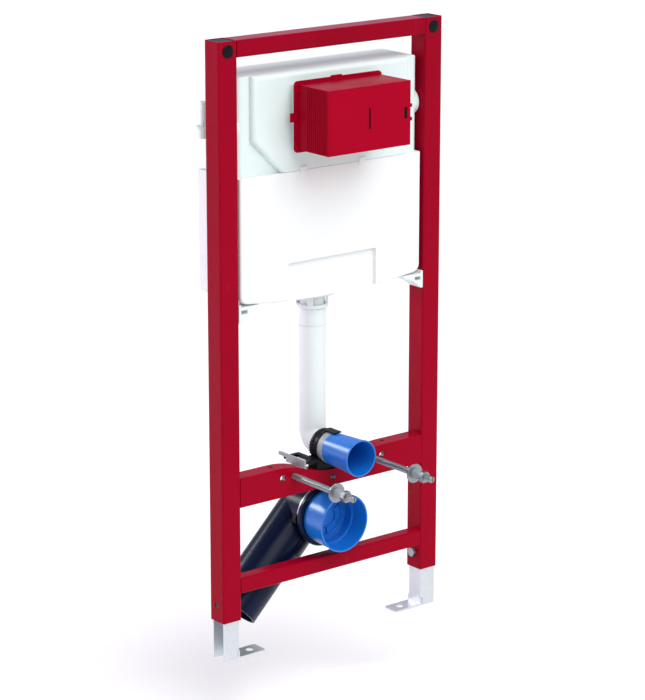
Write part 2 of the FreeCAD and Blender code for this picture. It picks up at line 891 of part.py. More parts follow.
def make_flush_collar():
    """Clamp collar on the front leg of the flush bend, with a latch tab over the cap."""
    inner_r = flush_r + pipe_fit
    wide = collar_back - collar_front
    place = Vector(0, behind(collar_front), flush_z)
    rib = wide / 3
    ring = turned(
        place,
        BACK,
        (inner_r, 0),
        (collar_r, 0),
        (collar_r, rib),
        (collar_r - collar_groove, rib + collar_groove / 2),
        (collar_r - collar_groove, wide - rib),
        (collar_r, wide - rib + collar_groove / 2),
        (collar_r, wide),
        (inner_r, wide),
    )
    tab = block(
        (-collar_tab_half, collar_tab_half),
        (behind(collar_front - collar_tab_reach), behind(collar_front + rib)),
        (flush_z + collar_r + pipe_fit, flush_z + collar_r + pipe_fit + collar_tab_sheet),
    )
    stem = block(
        (-collar_tab_half, collar_tab_half),
        (behind(collar_front), behind(collar_front + rib)),
        (flush_z + collar_r - collar_groove, flush_z + collar_r + collar_tab_sheet),
    )
    return ring.fuse(tab).fuse(stem).removeSplitter()


def make_seal_ring():
    """Grey seal ring between the collar and the flush cap."""
    inner_r = flush_r + pipe_fit
    length = collar_front - seal_front
    place = Vector(0, behind(collar_front), flush_z)
    return turned(place, -BACK, (inner_r, 0), (seal_r, 0), (seal_r, length), (inner_r, length))


def cap_profile(r_back, r_front, length, wall):
    """Profile of a tapered cap that is closed at the back and has a beaded front rim."""
    bead = wall / 2
    return (
        (0, 0),
        (r_back, 0),
        (r_front - bead, length - 3 * bead),
        (r_front, length - 2 * bead),
        (r_front, length),
        (r_front - bead - wall, length),
        (r_back - wall, wall),
        (0, wall),
    )


def make_flush_cap():
    """Tapered protective cap on the flush outlet, open to the front."""
    place = Vector(0, behind(seal_front), flush_z)
    length = flush_cap_reach + seal_front
    return turned(place, -BACK, *cap_profile(flush_cap_r_back, flush_cap_r_front, length, flush_cap_wall))


def make_saddle():
    """Saddle that fills the scoop under the collar, with an open wing on each side."""
    cradle_r = collar_r + pipe_fit
    top = flush_z - saddle_top_drop
    edge_z = scoop_at(saddle_half) + seat_gap
    base_z = scoop_at(0) + seat_gap
    lip = math.sqrt(cradle_r**2 - saddle_top_drop**2)
    body = outline(
        front_plane(behind(saddle_front)),
        (-saddle_half, edge_z),
        ((0, base_z), (saddle_half, edge_z)),
        (saddle_half, top),
        (lip, top),
        ((0, flush_z - cradle_r), (-lip, top)),
        (-saddle_half, top),
    ).extrude(BACK * (saddle_back - saddle_front))
    for side in (-1, 1):
        x = sorted((side * (saddle_half - OVER), side * wing_out))
        y = (behind(saddle_front), behind(wing_back))
        wing = block(x, y, (top - wing_sheet, top))
        window_x = sorted((side * (saddle_half + wing_window), side * (wing_out - wing_window)))
        window = block(window_x, shrunk(y, wing_window), (top - wing_sheet - OVER, top + OVER))
        body = body.fuse(wing.cut(window))
    return body.removeSplitter()


def make_saddle_cheek():
    """Upright end plate of the saddle, on the right, resting on the stud rail."""
    x = wing_out
    low = scoop_at(wing_out + cheek_sheet) + seat_gap
    top = flush_z - cheek_top_drop
    front = behind(-cheek_front)
    back = behind(cheek_back)
    plate = outline(
        side_plane(x),
        (front, low),
        (back - cheek_tail, low),
        (back - cheek_tail, top - cheek_tail_high),
        (back, top - cheek_tail_high),
        (back, top),
        (front, top),
    )
    return plate.extrude(RIGHT * cheek_sheet)


def round_topped(radius, length):
    """Rod that falls from the waste's knee, with a ball on its upper end."""
    return rod(radius, waste_knee, waste_fall, length).fuse(Part.makeSphere(radius, waste_knee))


def make_waste_elbow():
    """Level waste branch with a half sleeve that clasps the lower right side of the sloping pipe."""
    mouth = Vector(0, behind(elbow_mouth), waste_z)
    level = waste_back - elbow_mouth
    under = waste_fall.cross(BACK)
    reach = elbow_leg + elbow_r
    corners = (0, -reach), (reach, -reach), (reach, reach), (0, reach)
    near = waste_knee - BACK * reach
    half = outline(lambda u, v: near + under * u + waste_fall * v, *corners).extrude(BACK * 2 * reach)
    sleeve = round_topped(elbow_r, elbow_leg).common(half)
    seat = round_topped(pipe_r + pipe_fit, pipe_end)
    bore = rod(elbow_bore_r, mouth - BACK * OVER, BACK, level + OVER)
    return rod(elbow_r, mouth, BACK, level).fuse(sleeve).cut(seat).cut(bore).removeSplitter()


def make_waste_pipe():
    """Waste pipe with a closed round top at the knee and a side hole that meets the branch."""
    mouth = Vector(0, behind(elbow_mouth), waste_z)
    side_hole = rod(elbow_bore_r, mouth, BACK, waste_back - elbow_mouth)
    bore = round_topped(pipe_bore_r, pipe_end + OVER)
    return round_topped(pipe_r, pipe_end).cut(bore).cut(side_hole).removeSplitter()


def make_waste_collar():
    """Heavy collar round the mouth of the waste branch."""
    inner_r = elbow_r + pipe_fit
    wide = waste_collar_back - waste_collar_front
    edge = waste_collar_edge
    return turned(
        Vector(0, behind(waste_collar_front), waste_z),
        BACK,
        (inner_r, 0),
        (waste_collar_r - edge, 0),
        (waste_collar_r, edge),
        (waste_collar_r, wide - edge),
        (waste_collar_r - edge, wide),
        (inner_r, wide),
    )


def make_waste_strap():
    """Steel strap round the waste branch, with a cranked hanger up to the stud rail."""
    inner_r = elbow_r + strap_gap
    outer_r = inner_r + strap_sheet
    y = (behind(strap_front), behind(strap_front + strap_wide))
    start = Vector(0, y[0], waste_z)
    section = outline(
        lambda r, a: start - RIGHT * r + BACK * a,
        (inner_r, 0),
        (outer_r, 0),
        (outer_r, strap_wide),
        (inner_r, strap_wide),
    )
    ring = section.revolve(start, BACK, strap_sweep)
    plate_y = behind(stud_rail_depth) + hanger_gap
    step_z = stud_rail_low_z - hanger_drop
    x = (-hanger_half, hanger_half)
    plate = block(x, (plate_y, plate_y + hanger_sheet), (step_z, stud_rail_low_z + hanger_rise))
    step = block(x, (plate_y, y[1]), (step_z, step_z + hanger_sheet))
    root_z = waste_z + math.sqrt(inner_r**2 - hanger_half**2) + strap_sheet / 2
    drop = block(x, (y[1] - hanger_sheet, y[1]), (root_z, step_z + hanger_sheet))
    bore = rod(inner_r, Vector(0, y[0] - OVER, waste_z), BACK, strap_wide + 2 * OVER)
    strap = ring.fuse(plate).fuse(step).fuse(drop.cut(bore))
    hole = Vector(0, plate_y - OVER, stud_z - rail_screw_drop)
    strap = strap.cut(rod(rail_screw_r + bolt_clearance, hole, BACK, hanger_sheet + 2 * OVER))
    return strap.removeSplitter()


def make_strap_buckle():
    """Buckle that closes the strap on its left side."""
    outer_r = elbow_r + strap_gap + strap_sheet
    y = (behind(strap_front), behind(strap_front + strap_wide))
    z = (waste_z - buckle_high / 2, waste_z + buckle_high / 2)
    buckle = rounded_block((-outer_r - buckle_out, -outer_r + strap_sheet), y, z, BACK, strap_sheet)
    clear = rod(outer_r + seat_gap, Vector(0, y[0] - OVER, waste_z), BACK, strap_wide + 2 * OVER)
    return buckle.cut(clear)


def make_waste_cap():
    """Tapered protective cap in the waste mouth, with a stepped floor."""
    place = Vector(0, behind(waste_collar_front), waste_z)
    length = waste_cap_front + waste_collar_front
    shell = turned(place, -BACK, *cap_profile(waste_cap_r_back, waste_cap_r_front, length, waste_cap_wall))
    rim_r = waste_cap_r_back - waste_cap_wall
    step = turned(
        place,
        -BACK,
        (rim_r - waste_cap_step, waste_cap_wall / 2),
        (rim_r + waste_cap_wall / 2, waste_cap_wall / 2),
        (rim_r + waste_cap_wall / 2, waste_cap_step_deep),
        (rim_r - waste_cap_step, waste_cap_step_deep),
    )
    return shell.fuse(step).removeSplitter()


def make_rail_screw():
    """Pan head screw that fixes the strap's hanger through the stud rail."""
    place = Vector(0, front_y, stud_z - rail_screw_drop)
    length = stud_rail_depth + hanger_gap + 2 * hanger_sheet
    return turned(
        place,
        -BACK,
        (0, -length),
        (rail_screw_r, -length),
        (rail_screw_r, 0),
        (rail_screw_head_r, 0),
        dome(rail_screw_head_r, 0, rail_screw_head_high),
    )


def make_pair(name, shape):
    """A piece on the right and its mirror image on the left."""
    return {"right_" + name: shape, "left_" + name: mirrored(shape)}


def make_pieces():
    """Every piece of the frame by its node name."""
    rail_x = (-inner_x, inner_x)
    low_rail_z = (post_low_z + bottom_rail_lift, post_low_z + bottom_rail_lift + bottom_rail_height)
    pieces = {
        "top_rail": tube(rail_x, (front_y, 0), (-top_z, top_z), RIGHT, rail_corner, rail_wall),
        "bottom_rail": tube(
            rail_x, (front_y, behind(bottom_rail_depth)), low_rail_z, RIGHT, rail_corner, rail_wall
        ),
        "stud_rail": make_stud_rail(),
        "rail_screw": make_rail_screw(),
        "cistern_shell": make_shell(),
        "cistern_tank": make_tank(),
        "inlet_fitting": make_inlet_fitting(),
        "service_box": make_service_box(),
        "service_cover": make_service_cover(),
        "outlet_nut": make_outlet_nut(),
        "flush_pipe": make_flush_pipe(),
        "flush_collar": make_flush_collar(),
        "flush_seal_ring": make_seal_ring(),
        "flush_cap": make_flush_cap(),
        "flush_saddle": make_saddle(),
        "waste_elbow": make_waste_elbow(),
        "waste_pipe": make_waste_pipe(),
        "waste_collar": make_waste_collar(),
        "waste_strap": make_waste_strap(),
        "strap_buckle": make_strap_buckle(),
        "waste_cap": make_waste_cap(),
    }
    pieces.update(make_pair("post", make_post()))
    pieces.update(make_pair("top_cap", make_top_cap()))
    pieces.update(make_pair("hole_plug", make_hole_plug()))
    pieces.update(make_pair("leg", make_leg()))
    pieces.update(make_pair("leg_bolt", make_leg_bolt()))
    pieces.update(make_pair("nut_plate", make_nut_plate()))
    pieces.update(make_pair("stud", make_stud()))
    pieces.update(make_pair("stud_washer", stud_ring(washer_r, washer_seat, washer_sheet)))
    pieces.update(make_pair("stud_sleeve", stud_ring(sleeve_r, sleeve_seat, sleeve_length)))
    pieces.update(make_pair("stud_nut", make_nut()))
    pieces.update(make_pair("shell_clip", make_shell_clip()))
    pieces.update(make_pair("cistern_bracket", make_cistern_bracket()))
    pieces.update(make_pair("saddle_cheek", make_saddle_cheek()))
    return pieces


os.makedirs("parts", exist_ok=True)
for node, shape in make_pieces().items():
    shape.exportStep("parts/" + node + ".step")
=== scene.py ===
"""Looks of the wall hung toilet frame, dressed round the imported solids.

Metres, +Z up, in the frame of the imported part: the origin lies on the rear face of the top rail
at its middle, X runs to the right and Y towards the wall.
"""
from __future__ import annotations

import json
import logging
import math
from dataclasses import dataclass, field
from enum import Enum
from typing import Iterable

import bmesh
import bpy
from mathutils import Matrix, Vector

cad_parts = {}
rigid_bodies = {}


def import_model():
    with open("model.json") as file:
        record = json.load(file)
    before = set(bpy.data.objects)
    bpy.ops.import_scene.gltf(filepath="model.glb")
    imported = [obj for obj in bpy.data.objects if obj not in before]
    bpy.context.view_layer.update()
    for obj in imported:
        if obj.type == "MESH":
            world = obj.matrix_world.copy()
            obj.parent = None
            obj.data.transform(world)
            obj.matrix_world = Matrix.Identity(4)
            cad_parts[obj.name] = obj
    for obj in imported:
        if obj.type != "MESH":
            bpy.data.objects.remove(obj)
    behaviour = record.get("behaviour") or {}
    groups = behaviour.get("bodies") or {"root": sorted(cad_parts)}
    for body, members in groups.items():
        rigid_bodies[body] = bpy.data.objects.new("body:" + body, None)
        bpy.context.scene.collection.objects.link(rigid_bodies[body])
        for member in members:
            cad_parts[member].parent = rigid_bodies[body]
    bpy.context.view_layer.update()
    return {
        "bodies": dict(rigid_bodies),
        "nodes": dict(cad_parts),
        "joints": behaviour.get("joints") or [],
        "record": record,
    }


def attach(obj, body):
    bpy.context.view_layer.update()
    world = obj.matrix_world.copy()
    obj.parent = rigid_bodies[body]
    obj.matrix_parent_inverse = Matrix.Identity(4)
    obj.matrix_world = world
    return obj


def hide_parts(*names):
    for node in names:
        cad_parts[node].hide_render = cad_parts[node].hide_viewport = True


LOG = logging.getLogger("toilet_frame")
MM = 0.001
FOOT_Z = -1.105
FRONT_Y = -0.040
STUD_Z = -0.785
WASTE_Z = -0.885
FLUSH_Z = -0.750
MERGE = 1e-6
BUMP_STRENGTH = 0.35
RUB_PALENESS = 0.4
FORWARD = Vector((0.0, -1.0, 0.0))
Colour = tuple[float, float, float]


class Side(Enum):
    """The two sides of the frame, by the sign of X."""

    LEFT = -1
    RIGHT = 1

    @property
    def word(self) -> str:
        """The side's name as the nodes spell it."""
        return self.name.lower()


class Grain(Enum):
    """Small texture of a finish: spots per metre and depth in metres."""

    POWDER = (1100.0, 0.00006)
    MOULDED = (2200.0, 0.00002)
    EXTRUDED = (1500.0, 0.000015)
    ROLLED = (700.0, 0.00003)


class Effect(Enum):
    """Shader node groups that several finishes share."""

    TONE = "tone_drift"
    GRAIN = "fine_grain"
    SCUFF = "handling_scuffs"
    SPANGLE = "zinc_spangle"


class NodeBoard:
    """Short way to place and wire nodes in one tree."""

    def __init__(self, tree: bpy.types.NodeTree) -> None:
        """Starts on an empty tree."""
        self.tree = tree
        tree.nodes.clear()

    def add(self, kind: str, **values: object) -> bpy.types.Node:
        """Adds a node.

        Args:
            kind: node type without its ShaderNode prefix, or a full type name.
            values: node properties, by name.

        Returns:
            The new node.
        """
        full = kind if kind.startswith("Node") else "ShaderNode" + kind
        node = self.tree.nodes.new(full)
        for name, value in values.items():
            setattr(node, name, value)
        return node

    def feed(self, source: bpy.types.NodeSocket, target: bpy.types.NodeSocket) -> None:
        """Wires one socket to another."""
        self.tree.links.new(source, target)

    def noise(self, scale: object, detail: float, stretch: Vector | None = None) -> bpy.types.NodeSocket:
        """Noise on Object coordinates.

        Args:
            scale: spots per metre, or a socket that gives them.
            detail: octaves of the noise.
            stretch: factors on the three axes, or none.

        Returns:
            The noise value's socket.
        """
        where = self.add("TexCoord").outputs["Object"]
        if stretch is not None:
            turn = self.add("Mapping")
            turn.inputs["Scale"].default_value = stretch
            self.feed(where, turn.inputs["Vector"])
            where = turn.outputs["Vector"]
        spots = self.add("TexNoise")
        spots.inputs["Detail"].default_value = detail
        self.feed(where, spots.inputs["Vector"])
        if isinstance(scale, bpy.types.NodeSocket):
            self.feed(scale, spots.inputs["Scale"])
        else:
            spots.inputs["Scale"].default_value = scale
        return spots.outputs["Fac"]

    def spread(self, source: bpy.types.NodeSocket, low: float, high: float) -> bpy.types.Node:
        """Map Range from two limits to 0 and 1, clamped.

        Args:
            source: the value to map.
            low: value that becomes 0.
            high: value that becomes 1.

        Returns:
            The Map Range node.
        """
        node = self.add("MapRange")
        node.inputs["From Min"].default_value = low
        node.inputs["From Max"].default_value = high
        self.feed(source, node.inputs["Value"])
        return node


class EffectLibrary:
    """Builds each shared node group once."""

    def __init__(self) -> None:
        """Makes the groups."""
        self.groups = {
            Effect.TONE: self._tone(),
            Effect.GRAIN: self._grain(),
            Effect.SCUFF: self._scuff(),
            Effect.SPANGLE: self._spangle(),
        }

    @staticmethod
    def _new(effect: Effect, inputs: dict[str, str], outputs: dict[str, str]) -> tuple[NodeBoard, dict, dict]:
        """Opens a group with its named sockets.

        Args:
            effect: the group's name.
            inputs: socket type by input name.
            outputs: socket type by output name.

        Returns:
            The board, the input sockets and the output sockets.
        """
        tree = bpy.data.node_groups.new(effect.value, "ShaderNodeTree")
        for name, kind in inputs.items():
            tree.interface.new_socket(name, in_out="INPUT", socket_type="NodeSocket" + kind)
        for name, kind in outputs.items():
            tree.interface.new_socket(name, in_out="OUTPUT", socket_type="NodeSocket" + kind)
        board = NodeBoard(tree)
        entry = board.add("NodeGroupInput")
        leave = board.add("NodeGroupOutput")
        return board, entry.outputs, leave.inputs

    def _tone(self) -> bpy.types.NodeTree:
        """Slow drift between a colour and its darker shade.

        Returns:
            The group's node tree.
        """
        board, entry, leave = self._new(
            Effect.TONE,
            {"Colour": "Color", "Shade": "Color", "Scale": "Float", "Amount": "Float"},
            {"Colour": "Color"},
        )
        mask = board.spread(board.noise(entry["Scale"], 3.0), 0.35, 0.7)
        scaled = board.add("Math", operation="MULTIPLY")
        board.feed(mask.outputs["Result"], scaled.inputs[0])
        board.feed(entry["Amount"], scaled.inputs[1])
        mix = board.add("Mix", data_type="RGBA")
        board.feed(scaled.outputs[0], mix.inputs["Factor"])
        board.feed(entry["Colour"], mix.inputs[6])
        board.feed(entry["Shade"], mix.inputs[7])
        board.feed(mix.outputs[2], leave["Colour"])
        return board.tree

    def _grain(self) -> bpy.types.NodeTree:
        """Fine texture: a roughness that wavers and a height for bump.

        Returns:
            The group's node tree.
        """
        board, entry, leave = self._new(
            Effect.GRAIN,
            {"Scale": "Float", "Smooth": "Float", "Rough": "Float"},
            {"Roughness": "Float", "Height": "Float"},
        )
        fine = board.noise(entry["Scale"], 2.0)
        slow = board.noise(14.0, 4.0)
        blend = board.add("Math", operation="MULTIPLY_ADD")
        blend.inputs[1].default_value = 0.35
        board.feed(fine, blend.inputs[0])
        weak = board.add("Math", operation="MULTIPLY")
        weak.inputs[1].default_value = 0.65
        board.feed(slow, weak.inputs[0])
        board.feed(weak.outputs[0], blend.inputs[2])
        spread = board.spread(blend.outputs[0], 0.3, 0.7)
        board.feed(entry["Smooth"], spread.inputs["To Min"])
        board.feed(entry["Rough"], spread.inputs["To Max"])
        board.feed(spread.outputs["Result"], leave["Roughness"])
        board.feed(fine, leave["Height"])
        return board.tree

    def _scuff(self) -> bpy.types.NodeTree:
        """Sparse pale rubs from handling, as a mask.

        Returns:
            The group's node tree.
        """
        board, entry, leave = self._new(Effect.SCUFF, {"Amount": "Float"}, {"Mask": "Float"})
        long_marks = board.spread(board.noise(60.0, 5.0, Vector((1.0, 1.0, 0.25))), 0.66, 0.74)
        patches = board.spread(board.noise(9.0, 2.0), 0.5, 0.62)
        both = board.add("Math", operation="MULTIPLY")
        board.feed(long_marks.outputs["Result"], both.inputs[0])
        board.feed(patches.outputs["Result"], both.inputs[1])
        scaled = board.add("Math", operation="MULTIPLY")
        board.feed(both.outputs[0], scaled.inputs[0])
        board.feed(entry["Amount"], scaled.inputs[1])
        board.feed(scaled.outputs[0], leave["Mask"])
        return board.tree

    def _spangle(self) -> bpy.types.NodeTree:
        """Crystal patches of hot-dip zinc, as a value from 0 to 1.

        Returns:
            The group's node tree.
        """
        board, entry, leave = self._new(Effect.SPANGLE, {"Scale": "Float"}, {"Patch": "Float"})
        cells = board.add("TexVoronoi")
        board.feed(board.add("TexCoord").outputs["Object"], cells.inputs["Vector"])
        board.feed(entry["Scale"], cells.inputs["Scale"])
        grey = board.add("RGBToBW")
        board.feed(cells.outputs["Color"], grey.inputs["Color"])
        board.feed(grey.outputs["Val"], leave["Patch"])
        return board.tree


@dataclass(frozen=True)
class Finish:
    """One surface finish and the values of its material.

    Attributes:
        slot: the record's material slot.
        colour: main base colour, linear.
        shade: colour that the main one drifts to.
        smooth: lowest roughness.
        rough: highest roughness.
        grain: small texture.
        metallic: 1 for bare metal.
        specular: specular level.
        drift: share of the shade in the drift.
        drift_scale: drift spots per metre.
        scuff: strength of handling rubs.
        spangle: zinc crystals per metre, or none.
    """

    slot: str
    colour: Colour
    shade: Colour
    smooth: float
    rough: float
    grain: Grain
    metallic: float = 0.0
    specular: float = 0.5
    drift: float = 0.6
    drift_scale: float = 6.0
    scuff: float = 0.0
    spangle: float = 0.0

    def material(self, effects: EffectLibrary) -> bpy.types.Material:
        """Builds the material.

        Args:
            effects: the shared node groups.

        Returns:
            The node material of this finish.
        """
        made = bpy.data.materials.new(self.slot)
        made.use_nodes = True
        board = NodeBoard(made.node_tree)
        shader = board.add("BsdfPrincipled")
        out = board.add("OutputMaterial")
        board.feed(shader.outputs["BSDF"], out.inputs["Surface"])
        shader.inputs["Metallic"].default_value = self.metallic
        shader.inputs["Specular IOR Level"].default_value = self.specular
        board.feed(self._colour(board, effects), shader.inputs["Base Color"])
        grain = self._effect(board, effects, Effect.GRAIN)
        grain.inputs["Scale"].default_value = self.grain.value[0]
        grain.inputs["Smooth"].default_value = self.smooth
        grain.inputs["Rough"].default_value = self.rough
        board.feed(grain.outputs["Roughness"], shader.inputs["Roughness"])
        bump = board.add("Bump")
        bump.inputs["Strength"].default_value = BUMP_STRENGTH
        bump.inputs["Distance"].default_value = self.grain.value[1]
        board.feed(grain.outputs["Height"], bump.inputs["Height"])
        board.feed(bump.outputs["Normal"], shader.inputs["Normal"])
        return made

    @staticmethod
    def _effect(board: NodeBoard, effects: EffectLibrary, effect: Effect) -> bpy.types.Node:
        """Places a shared group on a board.

        Args:
            board: the material's board.
            effects: the shared node groups.
            effect: which of them.

        Returns:
            The group node.
        """
        node = board.add("Group")
        node.node_tree = effects.groups[effect]
        return node

    def _colour(self, board: NodeBoard, effects: EffectLibrary) -> bpy.types.NodeSocket:
        """Base colour with its drift, zinc crystals and rubs.

        Args:
            board: the material's board.
            effects: the shared node groups.

        Returns:
            The colour's socket.
        """
        tone = self._effect(board, effects, Effect.TONE)
        tone.inputs["Colour"].default_value = (*self.colour, 1.0)
        tone.inputs["Shade"].default_value = (*self.shade, 1.0)
        tone.inputs["Scale"].default_value = self.drift_scale
        tone.inputs["Amount"].default_value = self.drift
        colour = tone.outputs["Colour"]
        if self.spangle:
            patch = self._effect(board, effects, Effect.SPANGLE)
            patch.inputs["Scale"].default_value = self.spangle
            colour = self._mixed(board, patch.outputs["Patch"], colour, self.shade)
        if self.scuff:
            rubs = self._effect(board, effects, Effect.SCUFF)
            rubs.inputs["Amount"].default_value = self.scuff
            pale = tuple((1.0 - RUB_PALENESS) * part + RUB_PALENESS for part in self.colour)
            colour = self._mixed(board, rubs.outputs["Mask"], colour, pale)
        return colour

    @staticmethod
    def _mixed(
        board: NodeBoard, mask: bpy.types.NodeSocket, colour: bpy.types.NodeSocket, other: Colour
    ) -> bpy.types.NodeSocket:
        """Mixes a colour with another one by a mask.

        Args:
            board: the material's board.
            mask: share of the other colour.
            colour: the first colour.
            other: the other colour.

        Returns:
            The mixed colour's socket.
        """
        mix = board.add("Mix", data_type="RGBA")
        board.feed(mask, mix.inputs["Factor"])
        board.feed(colour, mix.inputs[6])
        mix.inputs[7].default_value = (*other, 1.0)
        return mix.outputs[2]


FINISHES = (
    Finish("red_powder_coat", (0.308, 0.0, 0.014), (0.268, 0.0, 0.012), 0.16, 0.26, Grain.POWDER,
           specular=0.045, scuff=0.04),
    Finish("red_plastic", (0.365, 0.0, 0.016), (0.315, 0.0, 0.014), 0.28, 0.40, Grain.MOULDED,
           specular=0.035),
    Finish("galvanised_leg", (0.70, 0.74, 0.76), (0.63, 0.67, 0.70), 0.30, 0.44, Grain.ROLLED,
           metallic=0.75, spangle=220.0, drift_scale=20.0),
    Finish("zinc_steel", (0.36, 0.39, 0.40), (0.27, 0.30, 0.31), 0.3, 0.44, Grain.ROLLED, metallic=1.0,
           drift_scale=60.0),
    Finish("dark_steel", (0.10, 0.10, 0.11), (0.07, 0.07, 0.075), 0.3, 0.45, Grain.ROLLED, metallic=1.0,
           drift_scale=60.0),
    Finish("grey_nylon", (0.30, 0.33, 0.35), (0.25, 0.28, 0.30), 0.34, 0.48, Grain.MOULDED),
    Finish("black_plastic", (0.004, 0.005, 0.007), (0.007, 0.008, 0.011), 0.3, 0.42, Grain.MOULDED,
           specular=0.12),
    Finish("white_shell", (0.86, 0.88, 0.88), (0.82, 0.85, 0.85), 0.4, 0.55, Grain.MOULDED, drift_scale=4.0),
    Finish("mint_white_tank", (0.74, 0.84, 0.825), (0.69, 0.80, 0.785), 0.38, 0.52, Grain.MOULDED,
           drift_scale=4.0),
    Finish("pale_bracket", (0.76, 0.81, 0.80), (0.70, 0.755, 0.75), 0.4, 0.55, Grain.MOULDED),
    Finish("white_pipe", (0.76, 0.815, 0.815), (0.70, 0.765, 0.765), 0.3, 0.42, Grain.EXTRUDED),
    Finish("blue_cap", (0.006, 0.165, 0.60), (0.005, 0.14, 0.52), 0.24, 0.34, Grain.MOULDED,
           drift_scale=12.0),
    Finish("black_pipe", (0.001, 0.006, 0.028), (0.002, 0.009, 0.036), 0.22, 0.34, Grain.EXTRUDED,
           specular=0.16, scuff=0.06),
)


@dataclass
class Workshop:
    """What every sub-assembly needs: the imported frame, its bodies and the materials."""

    frame: dict
    materials: dict[str, bpy.types.Material]
    slots: dict[str, str] = field(default_factory=dict)
    homes: dict[str, str] = field(default_factory=dict)

    def __post_init__(self) -> None:
        """Reads each node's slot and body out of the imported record."""
        record = self.frame["record"]
        self.slots = {part["node"]: part["material_slot"] for part in record["subparts"]}
        for body, nodes in record["behaviour"]["bodies"].items():
            for node in nodes:
                self.homes[node] = body

    def dress_node(self, node: str) -> None:
        """Gives a solid the material of its slot.

        Args:
            node: the solid's name.
        """
        solid = self.frame["nodes"][node]
        for holder in solid.material_slots:
            holder.material = self.materials[self.slots[node]]

    def add(
        self, name: str, form: bmesh.types.BMesh, slot: str, body: str, smooth: float = 40.0
    ) -> bpy.types.Object:
        """Turns a bmesh into a piece that rides on a body.

        Args:
            name: the piece's name.
            form: the shape, in the row frame; it is freed here.
            slot: material slot of its finish.
            body: body that it moves with.
            smooth: edges sharper than this angle, in degrees, stay sharp.

        Returns:
            The new object.
        """
        mesh = bpy.data.meshes.new(name)
        form.to_mesh(mesh)
        form.free()
        for face in mesh.polygons:
            face.use_smooth = True
        mesh.set_sharp_from_angle(angle=math.radians(smooth))
        mesh.materials.append(self.materials[slot])
        piece = bpy.data.objects.new(name, mesh)
        bpy.context.scene.collection.objects.link(piece)
        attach(piece, body)
        LOG.info("%s: %d faces on %s", name, len(mesh.polygons), body)
        return piece


@dataclass
class SoftenedSolids:
    """Copies of the solids whose sharp edges are rounded as paint, moulding and bending leave them.

    Attributes:
        widths: edge width in millimetres, by node name without its side.
        flat_angle: edges flatter than this are dissolved, in degrees.
        sharp_angle: edges sharper than this are rounded, in degrees.
    """

    widths: dict[str, float] = field(default_factory=lambda: {
        "post": 0.8, "top_rail": 0.8, "bottom_rail": 0.8, "stud_rail": 0.9, "leg": 0.5, "top_cap": 0.6,
        "nut_plate": 0.6, "stud_washer": 0.5, "stud_sleeve": 0.5, "stud_nut": 0.4, "leg_bolt": 0.4,
        "cistern_shell": 1.2, "cistern_tank": 1.0, "shell_clip": 0.3, "cistern_bracket": 0.8,
        "inlet_fitting": 0.6, "service_box": 0.4, "service_cover": 1.0, "outlet_nut": 0.6, "flush_pipe": 0.4,
        "flush_collar": 0.4, "flush_seal_ring": 0.6, "flush_cap": 0.35, "flush_saddle": 0.6,
        "saddle_cheek": 0.8, "waste_elbow": 0.8, "waste_pipe": 0.6, "waste_collar": 0.5, "waste_strap": 0.4,
        "strap_buckle": 0.5, "waste_cap": 0.35,
    })
    flat_angle: float = 0.4
    sharp_angle: float = 28.0

    def build(self, shop: Workshop) -> None:
        """Copies and softens every listed solid.

        Args:
            shop: frame, bodies and materials.
        """
        for node in sorted(shop.frame["nodes"]):
            plain = node.split("_", 1)[1] if node.startswith(("left_", "right_")) else node
            if plain in self.widths:
                self._soften(shop, node, self.widths[plain] * MM)

    def _soften(self, shop: Workshop, node: str, width: float) -> None:
        """Puts one softened copy in the place of its solid.

        Args:
            shop: frame, bodies and materials.
            node: the solid's name.
            width: width of the rounded edge.
        """
        form = bmesh.new()
        form.from_mesh(shop.frame["nodes"][node].data)
        bmesh.ops.remove_doubles(form, verts=form.verts, dist=MERGE)
        flat = math.radians(self.flat_angle)
        bmesh.ops.dissolve_limit(form, angle_limit=flat, verts=form.verts, edges=form.edges)
        limit = math.radians(self.sharp_angle)
        sharp = [edge for edge in form.edges if edge.is_manifold and edge.calc_face_angle(0.0) > limit]
        bmesh.ops.bevel(
            form, geom=sharp, offset=width, offset_type="OFFSET", segments=2, profile=0.5,
            affect="EDGES", clamp_overlap=True, material=-1,
        )
        piece = shop.add(node + "_dressed", form, shop.slots[node], shop.homes[node])
        normals = piece.modifiers.new("even_normals", "WEIGHTED_NORMAL")
        normals.keep_sharp = True
        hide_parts(node)


def lathe(
    form: bmesh.types.BMesh,
    profile: Iterable[tuple[float, float]],
    origin: Vector,
    axis: Vector,
    segments: int,
) -> list[bmesh.types.BMVert]:
    """Turns a profile round an axis.

    Args:
        form: the bmesh that takes the shape.
        profile: radius and distance along the axis, point by point.
        origin: start of the axis.
        axis: direction of the axis, of length 1.
        segments: steps of the full turn.

    Returns:
        The new vertices.
    """
    before = set(form.verts)
    across = Vector((0.0, 0.0, 1.0)) if abs(axis.z) < 0.5 else Vector((1.0, 0.0, 0.0))
    points = [form.verts.new(origin + across * r + axis * a) for r, a in profile]
    lines = [form.edges.new(pair) for pair in zip(points, points[1:])]
    bmesh.ops.spin(
        form, geom=points + lines, cent=origin, axis=axis, angle=math.tau, steps=segments, use_merge=True
    )
    fresh = [vert for vert in form.verts if vert not in before]
    bmesh.ops.remove_doubles(form, verts=fresh, dist=MERGE)
    fresh = [vert for vert in form.verts if vert not in before]
    faces = {face for vert in fresh for face in vert.link_faces}
    bmesh.ops.recalc_face_normals(form, faces=list(faces))
    return fresh


